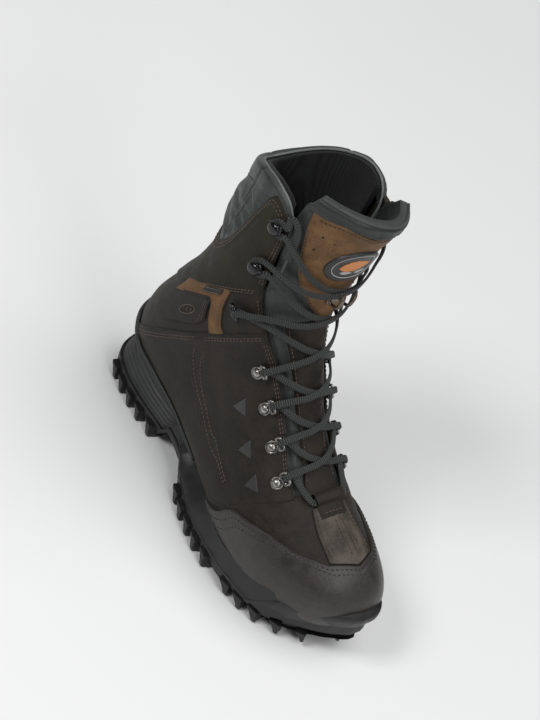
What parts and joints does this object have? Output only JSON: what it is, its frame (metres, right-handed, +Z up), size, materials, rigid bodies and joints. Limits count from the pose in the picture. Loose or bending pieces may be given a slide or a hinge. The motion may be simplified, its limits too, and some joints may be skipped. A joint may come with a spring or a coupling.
{
  "type": "insulated hunting boot",
  "caption": "Insulated lace-up leather hunting boot, right foot: dark brown nubuck, tan patches, tall padded shaft, lugged rubber sole.",
  "frame": {"origin": "centre of the boot's outline, on the floor that the sole stands on", "axes": "+X from heel to toe, +Y to the inner side of the right foot, +Z up the shaft"},
  "size_m": [0.311, 0.1114, 0.3071],
  "materials": {
    "sole_rubber": "matte moulded rubber",
    "midsole_foam": "matte foam with moulded ribs",
    "heel_cup_plastic": "ribbed matte plastic",
    "brown_leather": "oiled nubuck",
    "olive_leather": "oiled nubuck",
    "worn_leather": "worn waxed leather",
    "rand_leather": "smooth waxed leather",
    "grey_leather": "smooth soft leather",
    "tan_leather": "light brown nubuck",
    "stiffener_board": "pressed board",
    "lining_fabric": "insulated lining textile",
    "footbed_felt": "felt",
    "insole_board": "bonded fibre board",
    "shank_steel": "bare spring steel",
    "badge_rubber": "soft moulded badge",
    "tag_fabric": "woven tag",
    "lace_braid": "round braid pressed flat",
    "rivet_metal": "polished, lightly worn",
    "ring_metal": "worn gunmetal",
    "hook_metal": "dark gunmetal",
    "keeper_metal": "brownish gunmetal"
  },
  "bodies": {
    "boot": {"ankle_cover_lateral": "rand_leather", "ankle_cover_medial": "rand_leather", "ankle_loop_lateral": "hook_metal", "ankle_loop_medial": "hook_metal", "ankle_panel_lateral": "brown_leather", "ankle_panel_medial": "brown_leather", "ankle_patch_lateral": "tan_leather", "ankle_patch_medial": "tan_leather", "collar_pad": "grey_leather", "footbed": "footbed_felt", "heel_counter": "stiffener_board", "heel_stabilizer": "heel_cup_plastic", "insole_board": "insole_board", "lace": "lace_braid", "lace_hook_lateral_1": "hook_metal", "lace_hook_lateral_2": "hook_metal", "lace_hook_medial_1": "hook_metal", "lace_hook_medial_2": "hook_metal", "lace_ring_lateral_1": "ring_metal", "lace_ring_lateral_2": "ring_metal", "lace_ring_lateral_3": "ring_metal", "lace_ring_lateral_4": "ring_metal", "lace_ring_medial_1": "ring_metal", "lace_ring_medial_2": "ring_metal", "lace_ring_medial_3": "ring_metal", "lace_ring_medial_4": "ring_metal", "lace_tab": "rand_leather", "liner": "lining_fabric", "midsole_rear": "midsole_foam", "outsole_rear": "sole_rubber", "quarter_lateral": "brown_leather", "quarter_medial": "brown_leather", "ring_rivet_lateral_1": "rivet_metal", "ring_rivet_lateral_2": "rivet_metal", "ring_rivet_lateral_3": "rivet_metal", "ring_rivet_lateral_4": "rivet_metal", "ring_rivet_medial_1": "rivet_metal", "ring_rivet_medial_2": "rivet_metal", "ring_rivet_medial_3": "rivet_metal", "ring_rivet_medial_4": "rivet_metal", "shaft_panel_lateral": "olive_leather", "shaft_panel_medial": "olive_leather", "shank": "shank_steel", "side_panel_lateral": "brown_leather", "side_panel_medial": "brown_leather", "side_tag_lateral": "tag_fabric", "toe_rand": "rand_leather", "tongue_gusset_lateral": "grey_leather", "tongue_gusset_medial": "grey_leather", "tongue_lower": "brown_leather", "vamp": "brown_leather", "vamp_strip": "worn_leather"},
    "forefoot": {"outsole_forefoot": "sole_rubber", "midsole_forefoot": "midsole_foam", "toe_puff": "stiffener_board"},
    "tongue_flap": {"tongue_upper": "brown_leather", "tongue_patch": "tan_leather", "tongue_badge": "badge_rubber", "tongue_top_pad": "grey_leather", "lace_keeper": "keeper_metal"}
  },
  "joints": [
    {"name": "forefoot_flex", "type": "hinge", "parent": "boot", "child": "forefoot", "pos_m": [0.057, 0, 0.036], "axis": [0, -1, 0], "range_deg": [0, 12], "stiffness_Nm_per_rad": 12, "deforming": ["vamp", "toe_rand", "vamp_strip", "liner", "footbed", "insole_board"]},
    {"name": "tongue_flap_fold", "type": "hinge", "parent": "boot", "child": "tongue_flap", "pos_m": [-0.038, 0, 0.203], "axis": [0, -1, 0], "range_deg": [0, 5], "stiffness_Nm_per_rad": 0.6, "deforming": ["lace"]}
  ]
}
